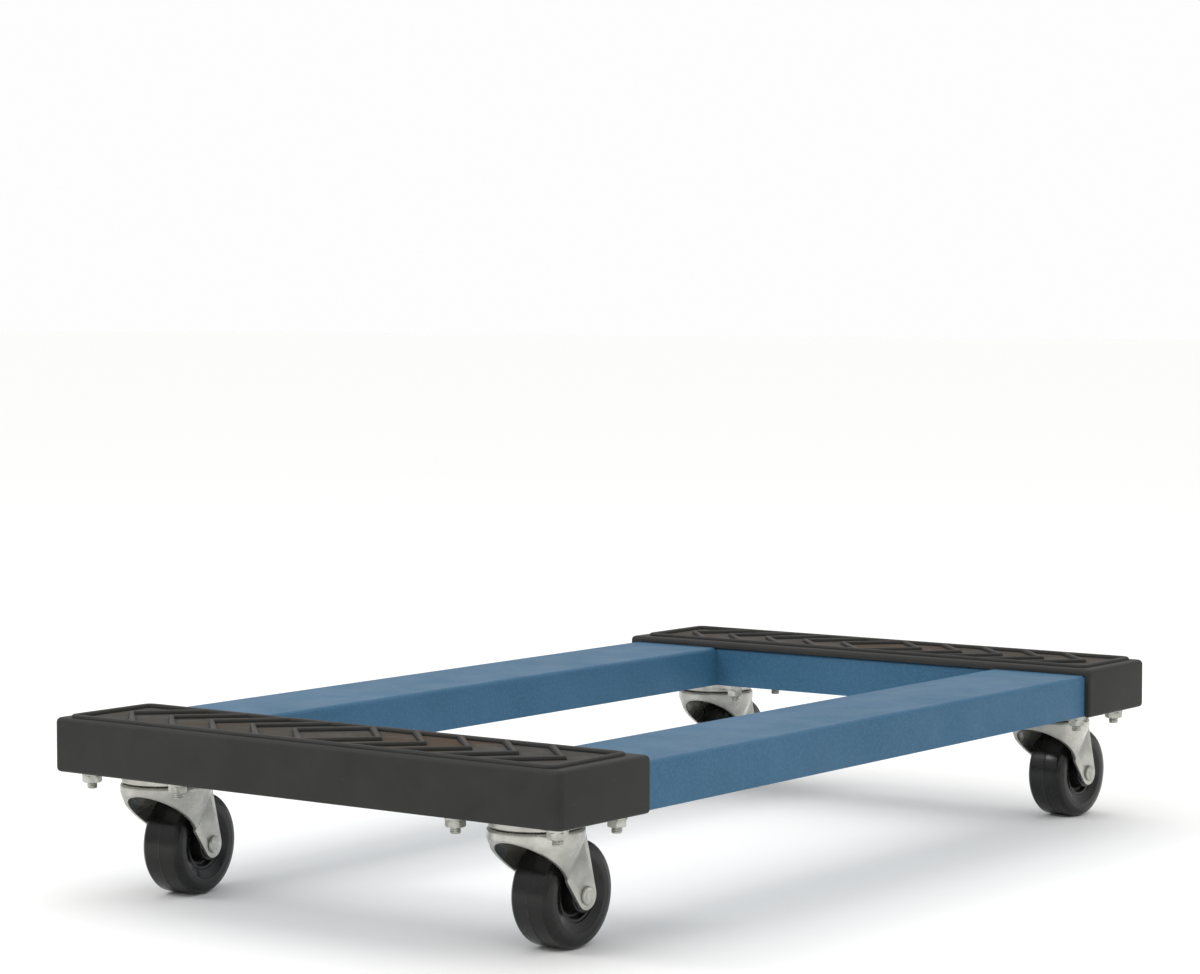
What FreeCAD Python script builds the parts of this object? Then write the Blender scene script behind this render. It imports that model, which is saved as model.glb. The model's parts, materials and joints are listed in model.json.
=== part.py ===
"""Open-deck furniture dolly: two folded steel side rails joined by a cross rail at each end,
a ribbed rubber cap over each end, and four swivel plate casters bolted under the corners.

Frame: origin on the floor under the middle of the whole object's box, +X right, +Y back, +Z up,
millimetres. The rear wheels trail behind the deck, so the deck's own middle is a little in front.
"""
import FreeCAD, Part
import math
import os
import re
import Sketcher

V = FreeCAD.Vector
doc = FreeCAD.newDocument("furniture_dolly")
sheet = doc.addObject("Spreadsheet::Sheet", "Dimensions")

DIMENSIONS = [
    # deck frame: inverted channels folded from sheet
    ("frame_width", 463.2),
    ("frame_length", 821.5),
    ("frame_bottom", 97.2),
    ("rail_width", 89.0),
    ("rail_height", 34.0),
    ("sheet_gauge", 2.5),
    ("fold_radius", 3.5),
    ("cross_rail_width", 94.0),
    # rubber end caps
    ("cap_width", 473.0),
    ("cap_length", 831.5),
    ("cap_depth", 101.0),
    ("cap_bottom", 96.0),
    ("cap_height", 40.5),
    ("cap_taper", 1.0),
    ("cap_corner", 5.0),
    ("cap_edge", 3.5),
    ("mouth_wall", 5.0),
    ("pocket_side_gap", 0.6),
    ("pocket_roof_gap", 0.4),
    ("panel_sink", 0.5),
    ("rib_height", 2.5),
    ("rib_width", 5.0),
    ("rim_half_width", 226.0),
    ("rim_end_inset", 4.5),
    ("rim_depth", 87.0),
    ("chevron_outermost", 206.0),
    ("chevron_pitch", 40.6),
    # rear wheels trail past the deck, so it stands this far forward of the origin
    ("deck_forward", 6.1),
    # caster positions and bolt pattern
    ("pivot_x", 173.6),
    ("pivot_y", 361.1),
    ("bolt_span_x", 87.3),
    ("bolt_span_y", 66.6),
    ("bolt_radius", 3.95),
    ("bolt_tip", 82.6),
    ("bolt_head_radius", 9.0),
    ("bolt_crown_radius", 5.4),
    ("bolt_seat_overlap", 0.5),
    ("bolt_head_height", 3.2),
    ("bolt_hole_radius", 4.3),
    ("sleeve_radius", 8.0),
    ("washer_radius", 7.6),
    ("washer_gauge", 2.0),
    ("washer_gap", 0.2),
    ("thread_gap", 0.05),
    ("nut_across_flats", 12.7),
    ("nut_height", 5.3),
    # caster top plate with its pressed-down raceway
    ("plate_length", 108.0),
    ("plate_depth", 88.0),
    ("plate_gauge", 2.8),
    ("plate_corner", 8.0),
    ("race_radius", 33.0),
    ("race_bottom", 87.7),
    ("race_edge", 1.8),
    ("race_gauge", 3.8),
    ("well_slope", 2.0),
    ("well_overlap", 0.5),
    # swivel bearing
    ("upper_ball_radius", 3.0),
    ("upper_ball_circle", 25.0),
    ("upper_ball_level", 87.45),
    ("lower_ball_radius", 2.5),
    ("lower_ball_circle", 15.0),
    ("lower_ball_level", 82.4),
    ("groove_gap", 0.3),
    ("retainer_radius", 20.5),
    ("retainer_top", 81.6),
    ("retainer_gauge", 3.4),
    ("retainer_edge", 1.5),
    ("retainer_gap", 0.6),
    ("kingpin_radius", 5.0),
    ("kingpin_head_radius", 9.0),
    ("kingpin_head_height", 2.4),
    ("pin_running_gap", 0.05),
    # fork
    ("crown_radius", 34.0),
    ("crown_top", 87.2),
    ("crown_edge", 2.0),
    ("crown_boss_height", 4.0),
    ("crown_boss_drop", 5.2),
    ("skirt_bottom", 80.5),
    ("skirt_foot", 45.0),
    ("skirt_slope", 0.37),
    ("fork_half_width", 22.5),
    ("leg_start", -3.0),
    ("leg_reach", 50.0),
    ("leg_end_radius", 10.0),
    # wheel and axle
    ("wheel_radius", 38.1),
    ("wheel_half_width", 17.0),
    ("hub_half_length", 19.6),
    ("wheel_trail", 28.0),
    ("shoulder_start", 13.2),
    ("shoulder_radius", 35.9),
    ("shoulder_half", 15.9),
    ("side_radius", 31.5),
    ("crest_radius", 26.5),
    ("dish_radius", 19.8),
    ("dish_half", 14.2),
    ("ledge_radius", 17.3),
    ("ledge_width", 2.0),
    ("ledge_half", 13.4),
    ("web_radius", 16.5),
    ("web_half", 8.5),
    ("hub_foot_radius", 13.0),
    ("hub_radius", 12.0),
    ("bush_radius", 5.5),
    ("bush_half_length", 19.8),
    ("axle_radius", 3.95),
    ("axle_head_radius", 6.6),
    ("axle_head_height", 2.2),
]
for row, (alias, size) in enumerate(DIMENSIONS, start=1):
    sheet.set(f"A{row}", alias)
    sheet.set(f"B{row}", str(size))
    sheet.setAlias(f"B{row}", alias)
doc.recompute()

UPPER_BALLS = 20
LOWER_BALLS = 14
CHEVRONS_PER_SIDE = 5
# fork seen from the side, (back, up) from the pivot: points on the arched front edge, on the
# small bend that ends it, and where the bend meets the leg; then where the back edge starts
FORK_ARCH = ((-34.0, 81.4), (-14.0, 68.0), (4.4, 53.6))
FORK_KNEE = ((5.8, 52.2), (6.3, 50.2))
FORK_HIP_BACK = 27.0
# how far cutting shapes run past what they cut
CLEAR = 5.0
# corner name: side in X, side in Y, and how far the caster stands swivelled at rest, degrees
CORNERS = {
    "front_right": (1, -1, -1.0),
    "front_left": (-1, -1, 7.0),
    "rear_right": (1, 1, -3.4),
    "rear_left": (-1, 1, 4.0),
}
NODES = []


def D(name):
    """One dimension from the sheet, in millimetres."""
    return float(sheet.get(name))


def on_sheet(expression):
    """Point each dimension name in an expression at the sheet; every name has an underscore."""
    return re.sub(r"[a-z]+(_[a-z]+)+", lambda name: f"Dimensions.{name.group()}", expression)


def keep(feature, label):
    """Name a finished sub-part and list it for writing."""
    feature.Label = label
    NODES.append(feature)
    return feature


def body(label):
    return keep(doc.addObject("PartDesign::Body", label), label)


def sketch_on(owner, plane, name, offset=None):
    """Sketch on one of the body's own origin planes, raised along its normal by an expression."""
    sketch = owner.newObject("Sketcher::SketchObject", name)
    role = [f for f in owner.Origin.OriginFeatures if f.Role == plane]
    sketch.AttachmentSupport = [(role[0], "")]
    sketch.MapMode = "FlatFace"
    if offset:
        sketch.setExpression("AttachmentOffset.Base.z", on_sheet(offset))
    return sketch


def outline(sketch, corners):
    """Closed straight-sided loop whose corners are pairs of sheet expressions."""
    first = sketch.GeometryCount
    spots = [[sketch.evalExpression(on_sheet(e)) for e in corner] for corner in corners]
    count = len(spots)
    for i, (x, y) in enumerate(spots):
        u, v = spots[(i + 1) % count]
        sketch.addGeometry(Part.LineSegment(V(x, y, 0), V(u, v, 0)), False)
    for i in range(count):
        j = first + (i + 1) % count
        sketch.addConstraint(Sketcher.Constraint("Coincident", first + i, 2, j, 1))
    for i, (x, y) in enumerate(spots):
        for kind, size, expression in (("DistanceX", x, corners[i][0]),
                                       ("DistanceY", y, corners[i][1])):
            place = sketch.addConstraint(Sketcher.Constraint(kind, -1, 1, first + i, 1, size))
            sketch.setExpression(f"Constraints[{place}]", on_sheet(expression))


def ring(sketch, x, y, radius):
    """Circle whose centre and radius are sheet expressions."""
    u, v, r = (sketch.evalExpression(on_sheet(e)) for e in (x, y, radius))
    circle = sketch.addGeometry(Part.Circle(V(u, v, 0), V(0, 0, 1), r), False)
    for kind, size, expression in (("DistanceX", u, x), ("DistanceY", v, y)):
        place = sketch.addConstraint(Sketcher.Constraint(kind, -1, 1, circle, 3, size))
        sketch.setExpression(f"Constraints[{place}]", on_sheet(expression))
    place = sketch.addConstraint(Sketcher.Constraint("Radius", circle, r))
    sketch.setExpression(f"Constraints[{place}]", on_sheet(radius))


def rectangle(sketch, x0, y0, x1, y1):
    outline(sketch, [(x0, y0), (x1, y0), (x1, y1), (x0, y1)])


def extrude(owner, sketch, kind, length, name, both_ways=False, reverse=False):
    """Pad or Pocket with its length read from the sheet."""
    feature = owner.newObject(f"PartDesign::{kind}", name)
    feature.Profile = sketch
    feature.setExpression("Length", on_sheet(length))
    feature.Midplane = both_ways
    feature.Reversed = reverse
    owner.Tip = feature
    doc.recompute()
    return feature


def turn(owner, sketch, kind, axis, name):
    """Revolution or Groove right round a line of the sketch."""
    feature = owner.newObject(f"PartDesign::{kind}", name)
    feature.Profile = sketch
    feature.ReferenceAxis = (sketch, [axis])
    feature.Angle = 360.0
    owner.Tip = feature
    doc.recompute()
    return feature


def round_edges(owner, feature, radius, name, wanted):
    """Fillet those edges of a feature whose middle point passes a test."""
    edges = []
    for i, edge in enumerate(feature.Shape.Edges, start=1):
        middle = edge.valueAt((edge.FirstParameter + edge.LastParameter) / 2)
        if wanted(edge, middle):
            edges.append(f"Edge{i}")
    fillet = owner.newObject("PartDesign::Fillet", name)
    fillet.Base = (feature, edges)
    fillet.setExpression("Radius", on_sheet(radius))
    owner.Tip = fillet
    doc.recompute()
    return fillet


def near(a, b):
    return abs(a - b) < 0.01


def bolt_spots():
    """Caster bolt positions of one corner, relative to its pivot, as expression pairs."""
    return [(f"{i} * bolt_span_x / 2", f"{j} * bolt_span_y / 2") for i in (-1, 1) for j in (-1, 1)]


def channel(label, plane, outer, inner, outward, length):
    """Inverted channel folded from sheet: web on top, open below, with rolled top edges."""
    rail = body(label)
    profile = sketch_on(rail, plane, f"{label}_profile")
    top = "frame_bottom + rail_height"
    outer_wall = f"{outer} - {outward} * sheet_gauge"
    inner_wall = f"{inner} + {outward} * sheet_gauge"
    outline(profile, [
        (outer, "frame_bottom"),
        (outer, top),
        (inner, top),
        (inner, "frame_bottom"),
        (inner_wall, "frame_bottom"),
        (inner_wall, f"{top} - sheet_gauge"),
        (outer_wall, f"{top} - sheet_gauge"),
        (outer_wall, "frame_bottom"),
    ])
    folded = extrude(rail, profile, "Pad", length, f"{label}_sheet", both_ways=True)
    web = D("frame_bottom") + D("rail_height")
    along = V(0, 1, 0) if plane == "XZ_Plane" else V(1, 0, 0)
    for name, radius, level in (("outer", "fold_radius", web),
                                ("inner", "fold_radius - sheet_gauge", web - D("sheet_gauge"))):
        folded = round_edges(rail, folded, radius, f"{label}_{name}_folds",
                             lambda edge, p: near(p.z, level) and near(p.dot(along), 0))
    return rail


def bolt_holes(rail, label, spots):
    """Clearance holes for the caster bolts through the web of a channel."""
    holes = sketch_on(rail, "XY_Plane", f"{label}_hole_spots", "frame_bottom")
    for x, y in spots:
        ring(holes, x, y, "bolt_hole_radius")
    extrude(rail, holes, "Pocket", "rail_height + fold_radius", f"{label}_holes", reverse=True)


def side_rail(label, side):
    """Channel running the length of the deck."""
    rail = channel(label, "XZ_Plane", f"{side} * frame_width / 2",
                   f"{side} * (frame_width / 2 - rail_width)", side, "frame_length")
    bolt_holes(rail, label, [(f"{side} * (pivot_x + bolt_span_x / 2)",
                              f"{end} * pivot_y + {j} * bolt_span_y / 2")
                             for end in (-1, 1) for j in (-1, 1)])
    return rail


def cross_rail(label, end):
    """Shorter channel between the side rails, under one rubber cap."""
    rail = channel(label, "YZ_Plane", f"{end} * frame_length / 2",
                   f"{end} * (frame_length / 2 - cross_rail_width)", end,
                   "frame_width - 2 * rail_width")
    bolt_holes(rail, label, [(f"{side} * (pivot_x - bolt_span_x / 2)",
                              f"{end} * pivot_y + {j} * bolt_span_y / 2")
                             for side in (-1, 1) for j in (-1, 1)])
    return rail


def chevron(sketch, side, place, y_middle, reach):
    """One V-shaped rib pointing away from the middle of the deck; its legs run at 45 degrees."""
    tip = f"chevron_outermost - {place} * chevron_pitch"
    slant = "rib_width * sqrt(2)"
    outline(sketch, [
        (f"{side} * ({tip})", y_middle),
        (f"{side} * ({tip} - {reach})", f"{y_middle} + {reach}"),
        (f"{side} * ({tip} - {reach} - {slant})", f"{y_middle} + {reach}"),
        (f"{side} * ({tip} - {slant})", y_middle),
        (f"{side} * ({tip} - {reach} - {slant})", f"{y_middle} - ({reach})"),
        (f"{side} * ({tip} - {reach})", f"{y_middle} - ({reach})"),
    ])


def rubber_cap(label, end):
    """Moulded boot over one end of the frame: top, outer wall and both sides, open below and
    towards the deck, with a ribbed panel on top and pockets over the bolt heads."""
    cap = body(label)
    outer = f"{end} * cap_length / 2"
    mouth = f"{end} * (cap_length / 2 - cap_depth)"
    plan = sketch_on(cap, "XY_Plane", f"{label}_plan", "cap_bottom")
    outline(plan, [
        ("cap_width / 2", mouth),
        ("cap_width / 2 - cap_taper", outer),
        ("-cap_width / 2 + cap_taper", outer),
        ("-cap_width / 2", mouth),
    ])
    block = extrude(cap, plan, "Pad", "cap_height", f"{label}_block")
    y_outer = end * D("cap_length") / 2
    y_mouth = end * (D("cap_length") / 2 - D("cap_depth"))
    top = D("cap_bottom") + D("cap_height")
    block = round_edges(
        cap, block, "cap_corner", f"{label}_corners",
        lambda edge, p: near(p.y, y_outer) and not near(p.x, 0) and p.z < top - 1
        and p.z > D("cap_bottom") + 1)
    block = round_edges(
        cap, block, "cap_edge", f"{label}_edges",
        lambda edge, p: (near(p.z, top) or near(p.z, D("cap_bottom"))) and not near(p.y, y_mouth))

    cavity = sketch_on(cap, "XY_Plane", f"{label}_cavity_plan", "cap_bottom")
    rectangle(cavity, "-frame_width / 2", f"{end} * frame_length / 2",
              "frame_width / 2", f"{mouth} - {end} * mouth_wall")
    extrude(cap, cavity, "Pocket", "frame_bottom + rail_height - cap_bottom",
            f"{label}_cavity", reverse=True)

    rim_outer = f"{end} * (cap_length / 2 - rim_end_inset)"
    rim_inner = f"{end} * (cap_length / 2 - rim_end_inset - rim_depth)"
    panel = sketch_on(cap, "XY_Plane", f"{label}_panel_plan", "cap_bottom + cap_height")
    rectangle(panel, "-rim_half_width", rim_outer, "rim_half_width", rim_inner)
    extrude(cap, panel, "Pocket", "panel_sink", f"{label}_panel")

    floor = "cap_bottom + cap_height - panel_sink"
    ribs = sketch_on(cap, "XY_Plane", f"{label}_rim_plan", floor)
    rectangle(ribs, "-rim_half_width", rim_outer, "rim_half_width", rim_inner)
    rectangle(ribs, "-rim_half_width + rib_width", f"{rim_outer} - {end} * rib_width",
              "rim_half_width - rib_width", f"{rim_inner} + {end} * rib_width")
    extrude(cap, ribs, "Pad", "rib_height + panel_sink", f"{label}_rim")

    # the chevrons' legs stop at the rim, so the panel is left as a row of closed fields
    y_middle = f"{end} * (cap_length / 2 - rim_end_inset - rim_depth / 2)"
    reach = "rim_depth / 2 - rib_width"
    for side, name in ((-1, "left"), (1, "right")):
        marks = sketch_on(cap, "XY_Plane", f"{label}_{name}_chevron_plan", floor)
        for place in range(CHEVRONS_PER_SIDE):
            chevron(marks, side, place, y_middle, reach)
        extrude(cap, marks, "Pad", "rib_height + panel_sink", f"{label}_{name}_chevrons")

    heads = sketch_on(cap, "XY_Plane", f"{label}_head_spots", "frame_bottom + rail_height")
    for side in (-1, 1):
        for x, y in bolt_spots():
            ring(heads, f"{side} * pivot_x + {x}", f"{end} * pivot_y + {y}",
                 "bolt_head_radius + pocket_side_gap")
    extrude(cap, heads, "Pocket", "bolt_head_height + pocket_roof_gap", f"{label}_head_pockets",
            reverse=True)
    return cap


def cylinder(name, radius, height, base):
    """Upright Part cylinder with its sizes and base level read from the sheet."""
    solid = doc.addObject("Part::Cylinder", name)
    solid.setExpression("Radius", on_sheet(radius))
    solid.setExpression("Height", on_sheet(height))
    solid.setExpression("Placement.Base.z", on_sheet(base))
    return solid


def fuse(name, pieces):
    joined = doc.addObject("Part::MultiFuse", name)
    joined.Shapes = pieces
    return joined


def cut(name, base, tool):
    result = doc.addObject("Part::Cut", name)
    result.Base = base
    result.Tool = tool
    return result


def repeat(label, pattern, spots):
    """One node that holds a copy of a fastener at each spot, as separate solids."""
    doc.recompute()
    copies = []
    for spot in spots:
        copy = pattern.Shape.copy()
        copy.translate(spot)
        copies.append(copy)
    group = keep(doc.addObject("Part::Feature", label), label)
    group.Shape = Part.makeCompound(copies)
    return group


def caster_fasteners():
    """Domed carriage bolts through the rails, spacer sleeves inside the channels, and a spring
    washer and hexagon nut under each caster plate."""
    spots = []
    for side, end, _ in CORNERS.values():
        for i in (-1, 1):
            for j in (-1, 1):
                spots.append(V(side * D("pivot_x") + i * D("bolt_span_x") / 2,
                               end * D("pivot_y") + j * D("bolt_span_y") / 2, 0))
    top = "frame_bottom + rail_height"
    shank = cylinder("bolt_shank", "bolt_radius", f"{top} - bolt_tip + bolt_seat_overlap", "bolt_tip")
    head = doc.addObject("Part::Cone", "bolt_head")
    head.setExpression("Radius1", on_sheet("bolt_head_radius"))
    head.setExpression("Radius2", on_sheet("bolt_crown_radius"))
    head.setExpression("Height", on_sheet("bolt_head_height"))
    head.setExpression("Placement.Base.z", on_sheet(top))
    repeat("caster_bolts", fuse("bolt_blank", [shank, head]), spots)

    tube = cylinder("sleeve_outside", "sleeve_radius", "rail_height - sheet_gauge", "frame_bottom")
    hole = cylinder("sleeve_hole", "bolt_hole_radius", "rail_height + 2 * sheet_gauge",
                    "frame_bottom - sheet_gauge")
    repeat("bolt_sleeves", cut("sleeve_blank", tube, hole), spots)

    under = "frame_bottom - plate_gauge"
    disc = cylinder("washer_outside", "washer_radius", "washer_gauge", f"{under} - washer_gauge")
    eye = cylinder("washer_hole", "bolt_radius + washer_gap", "3 * washer_gauge",
                   f"{under} - 2 * washer_gauge")
    slot = doc.addObject("Part::Box", "washer_split")
    slot.setExpression("Length", on_sheet("washer_radius + washer_gauge"))
    slot.setExpression("Width", on_sheet("washer_gauge / 2"))
    slot.setExpression("Height", on_sheet("3 * washer_gauge"))
    slot.setExpression("Placement.Base.z", on_sheet(f"{under} - 2 * washer_gauge"))
    washer = cut("washer_blank", cut("washer_ring", disc, eye), slot)
    repeat("lock_washers", washer, spots)

    hexagon = doc.addObject("Part::Prism", "nut_hexagon")
    hexagon.Polygon = 6
    hexagon.setExpression("Circumradius", on_sheet("nut_across_flats / sqrt(3)"))
    hexagon.setExpression("Height", on_sheet("nut_height"))
    hexagon.setExpression("Placement.Base.z",
                          on_sheet(f"{under} - washer_gauge - nut_height"))
    crown = doc.addObject("Part::Cone", "nut_chamfer")
    crown.setExpression("Radius1", on_sheet("nut_across_flats / 2"))
    crown.setExpression("Radius2", on_sheet("nut_across_flats / 2 + nut_height"))
    crown.setExpression("Height", on_sheet("nut_height"))
    crown.setExpression("Placement.Base.z",
                        on_sheet(f"{under} - washer_gauge - nut_height"))
    blank = doc.addObject("Part::Common", "nut_outside")
    blank.Base = hexagon
    blank.Tool = crown
    thread = cylinder("nut_hole", "bolt_radius + thread_gap", "3 * nut_height",
                      f"{under} - washer_gauge - 2 * nut_height")
    repeat("caster_nuts", cut("nut_blank", blank, thread), spots)


def corner_place(corner, turned):
    """Placement of a caster piece that is drawn round its own pivot."""
    side, end, angle = CORNERS[corner]
    spin = FreeCAD.Rotation(V(0, 0, 1), angle if turned else 0)
    return FreeCAD.Placement(V(side * D("pivot_x"), end * D("pivot_y"), 0), spin)


def top_plate(corner):
    """Bolted plate whose middle is pressed down into the upper ball race."""
    label = f"{corner}_caster_plate"
    plate = body(label)
    under = "frame_bottom - plate_gauge"
    plan = sketch_on(plate, "XY_Plane", f"{label}_plan", under)
    rectangle(plan, "-plate_length / 2", "-plate_depth / 2", "plate_length / 2", "plate_depth / 2")
    sheet_pad = extrude(plate, plan, "Pad", "plate_gauge", f"{label}_sheet")
    round_edges(plate, sheet_pad, "plate_corner", f"{label}_corners",
                lambda edge, p: near(abs(p.x), D("plate_length") / 2)
                and near(abs(p.y), D("plate_depth") / 2))
    well = sketch_on(plate, "XZ_Plane", f"{label}_well_section")
    rectangle(well, "0", f"{under} - well_overlap", "race_radius - plate_gauge",
              "frame_bottom + well_overlap")
    turn(plate, well, "Groove", "V_Axis", f"{label}_well")
    wall = "race_radius - plate_gauge"
    race = sketch_on(plate, "XZ_Plane", f"{label}_race_section")
    outline(race, [
        ("race_radius", f"{under} + well_overlap"),
        ("race_radius", "race_bottom"),
        ("kingpin_radius", "race_bottom"),
        ("kingpin_radius", "race_bottom + race_gauge"),
        (f"{wall} - well_slope", "race_bottom + race_gauge"),
        (wall, f"{under} + well_overlap"),
    ])
    pressed = turn(plate, race, "Revolution", "V_Axis", f"{label}_race")
    round_edges(plate, pressed, "race_edge", f"{label}_race_edge",
                lambda edge, p: near(math.hypot(p.x, p.y), D("race_radius"))
                and near(p.z, D("race_bottom")))
    groove = sketch_on(plate, "XZ_Plane", f"{label}_groove_section")
    ring(groove, "upper_ball_circle", "upper_ball_level", "upper_ball_radius + groove_gap")
    turn(plate, groove, "Groove", "V_Axis", f"{label}_ball_groove")
    holes = sketch_on(plate, "XY_Plane", f"{label}_hole_spots",
                      f"{under} - plate_gauge")
    for x, y in bolt_spots():
        ring(holes, x, y, "bolt_hole_radius")
    extrude(plate, holes, "Pocket", "3 * plate_gauge", f"{label}_bolt_holes", reverse=True)
    plate.Placement = corner_place(corner, turned=False)
    return plate


def kingpin(corner):
    """Rivet that clamps the plate and the retainer with the fork's crown free between them."""
    floor = "retainer_top - retainer_gauge"
    shank = cylinder(f"{corner}_kingpin_shank", "kingpin_radius",
                     f"race_bottom + race_gauge - ({floor})", floor)
    upper = cylinder(f"{corner}_kingpin_upper", "kingpin_head_radius", "kingpin_head_height",
                     "race_bottom + race_gauge")
    lower = cylinder(f"{corner}_kingpin_lower", "kingpin_head_radius", "kingpin_head_height",
                     f"{floor} - kingpin_head_height")
    label = f"{corner}_kingpin"
    pin = keep(fuse(f"{label}_blank", [shank, upper, lower]), label)
    pin.Placement = corner_place(corner, turned=False)
    return pin


def retainer(corner):
    """Dished washer under the crown that carries the lower ball race."""
    label = f"{corner}_race_retainer"
    cup = body(label)
    section = sketch_on(cup, "XZ_Plane", f"{label}_section")
    outline(section, [
        ("kingpin_radius", "retainer_top - retainer_gauge"),
        ("retainer_radius - retainer_edge", "retainer_top - retainer_gauge"),
        ("retainer_radius", "retainer_top - retainer_gauge + retainer_edge"),
        ("retainer_radius", "retainer_top"),
        ("kingpin_radius", "retainer_top"),
    ])
    turn(cup, section, "Revolution", "V_Axis", f"{label}_disc")
    groove = sketch_on(cup, "XZ_Plane", f"{label}_groove_section")
    ring(groove, "lower_ball_circle", "lower_ball_level", "lower_ball_radius + groove_gap")
    turn(cup, groove, "Groove", "V_Axis", f"{label}_ball_groove")
    cup.Placement = corner_place(corner, turned=False)
    return cup


def ball_ring(corner, label, count, radius, circle, level):
    """Loose balls of one race, each a separate solid."""
    balls = []
    for i in range(count):
        angle = 2 * math.pi * i / count
        centre = V(D(circle) * math.cos(angle), D(circle) * math.sin(angle), D(level))
        balls.append(Part.makeSphere(D(radius), centre))
    balls_node = keep(doc.addObject("Part::Feature", label), label)
    balls_node.Shape = Part.makeCompound(balls)
    balls_node.Placement = corner_place(corner, turned=True)
    return balls_node


def fork_envelope(inset):
    """Crown with a skirt that narrows round the swivel axis, over two flat, parallel legs, all
    drawn inset from the outside."""
    skirt = D("skirt_bottom")
    drop = skirt - D("skirt_foot")
    radius = D("crown_radius") - inset
    half_width = D("fork_half_width") - inset
    crown = Part.makeCylinder(radius, D("crown_top") - inset - skirt, V(0, 0, skirt))
    if inset < D("crown_edge"):
        rim = [edge for edge in crown.Edges if near(edge.BoundBox.ZMin, D("crown_top") - inset)]
        crown = crown.makeFillet(D("crown_edge") - inset, rim)
    funnel = Part.makeCone(radius - D("skirt_slope") * drop, radius, drop,
                           V(0, 0, D("skirt_foot")))
    start = D("leg_start") - inset
    legs = Part.makeBox(2 * half_width, D("leg_reach") - start, skirt, V(-half_width, start, 0))
    return crown.fuse([funnel, legs])


def tangent_point(start, centre, radius, side):
    """Where the line from start touches a circle, on the side given by +1 or -1."""
    to_centre = centre - start
    reach = to_centre.Length
    swing = side * math.asin(radius / reach)
    length = math.sqrt(reach ** 2 - radius ** 2)
    heading = math.atan2(to_centre.z, to_centre.y) + swing
    return start + V(0, length * math.cos(heading), length * math.sin(heading))


def fork_side_view():
    """Side outline, extruded across the fork: crown, arched front, knee and rounded leg ends."""
    eye = V(0, D("wheel_trail"), D("wheel_radius"))
    skirt = D("skirt_bottom")
    high = D("crown_top") + CLEAR
    wide = D("crown_radius") + CLEAR
    arch = [V(0, y, z) for y, z in FORK_ARCH]
    bend, knee = [V(0, y, z) for y, z in FORK_KNEE]
    hip = V(0, FORK_HIP_BACK, skirt)
    front = tangent_point(knee, eye, D("leg_end_radius"), -1)
    back = tangent_point(hip, eye, D("leg_end_radius"), 1)
    toe = eye - V(0, 0, D("leg_end_radius"))
    before = V(0, -wide, arch[0].z)
    edges = [
        Part.LineSegment(V(0, -wide, high), before).toShape(),
        Part.LineSegment(before, arch[0]).toShape(),
        Part.Arc(*arch).toShape(),
        Part.Arc(arch[2], bend, knee).toShape(),
        Part.LineSegment(knee, front).toShape(),
        Part.Arc(front, toe, back).toShape(),
        Part.LineSegment(back, hip).toShape(),
        Part.LineSegment(hip, V(0, wide, skirt)).toShape(),
        Part.LineSegment(V(0, wide, skirt), V(0, wide, high)).toShape(),
        Part.LineSegment(V(0, wide, high), V(0, -wide, high)).toShape(),
    ]
    face = Part.Face(Part.Wire(edges))
    face.translate(V(-wide, 0, 0))
    return face.extrude(V(2 * wide, 0, 0))


def fork_shape():
    shell = fork_envelope(0).cut(fork_envelope(D("sheet_gauge")))
    shell = shell.common(fork_side_view())
    pin = Part.makeCylinder(D("kingpin_radius") + D("pin_running_gap"), D("crown_top"))
    axle_length = 2 * (D("fork_half_width") + CLEAR)
    eye = Part.makeCylinder(D("axle_radius") + D("pin_running_gap"), axle_length,
                            V(-axle_length / 2, D("wheel_trail"), D("wheel_radius")), V(1, 0, 0))
    upper = Part.makeTorus(D("upper_ball_circle"), D("upper_ball_radius") + D("groove_gap"),
                           V(0, 0, D("upper_ball_level")))
    lower = Part.makeTorus(D("lower_ball_circle"), D("lower_ball_radius") + D("groove_gap"),
                           V(0, 0, D("lower_ball_level")))
    # the crown is thickened inside, so that both grooves leave metal between them
    boss_foot = V(0, 0, D("crown_top") - D("crown_boss_drop"))
    boss = Part.makeCylinder(D("crown_radius") - D("sheet_gauge") / 2, D("crown_boss_height"),
                             boss_foot)
    boss = boss.cut(Part.makeCylinder(D("retainer_radius") + D("retainer_gap"),
                                      D("crown_boss_height"), boss_foot))
    return shell.fuse(boss).cut([pin, eye, upper, lower]).removeSplitter()


def fork(corner, shape):
    label = f"{corner}_fork"
    node = keep(doc.addObject("Part::Feature", label), label)
    node.Shape = shape
    node.Placement = corner_place(corner, turned=True)
    return node


def lying(feature, corner):
    """Lay an upright piece along the wheel's axle, its own origin at the wheel's centre."""
    hub = FreeCAD.Placement(V(0, D("wheel_trail"), D("wheel_radius")),
                            FreeCAD.Rotation(V(0, 1, 0), 90))
    feature.Placement = corner_place(corner, turned=True).multiply(hub)
    return feature


def axle(corner):
    """Rivet through both legs, with a flat round head at each end."""
    half = "fork_half_width"
    shank = cylinder(f"{corner}_axle_shank", "axle_radius", f"2 * {half}", f"-{half}")
    near_head = cylinder(f"{corner}_axle_near", "axle_head_radius", "axle_head_height", half)
    far_head = cylinder(f"{corner}_axle_far", "axle_head_radius", "axle_head_height",
                        f"-{half} - axle_head_height")
    label = f"{corner}_axle_rivet"
    return lying(keep(fuse(f"{label}_blank", [shank, near_head, far_head]), label), corner)


def bush(corner):
    """Steel tube on the axle, which the wheel's hub turns on."""
    tube = cylinder(f"{corner}_bush_outside", "bush_radius", "2 * bush_half_length",
                    "-bush_half_length")
    hole = cylinder(f"{corner}_bush_hole", "axle_radius + pin_running_gap",
                    "4 * bush_half_length", "-2 * bush_half_length")
    label = f"{corner}_wheel_bush"
    return lying(keep(cut(f"{label}_blank", tube, hole), label), corner)


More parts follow.
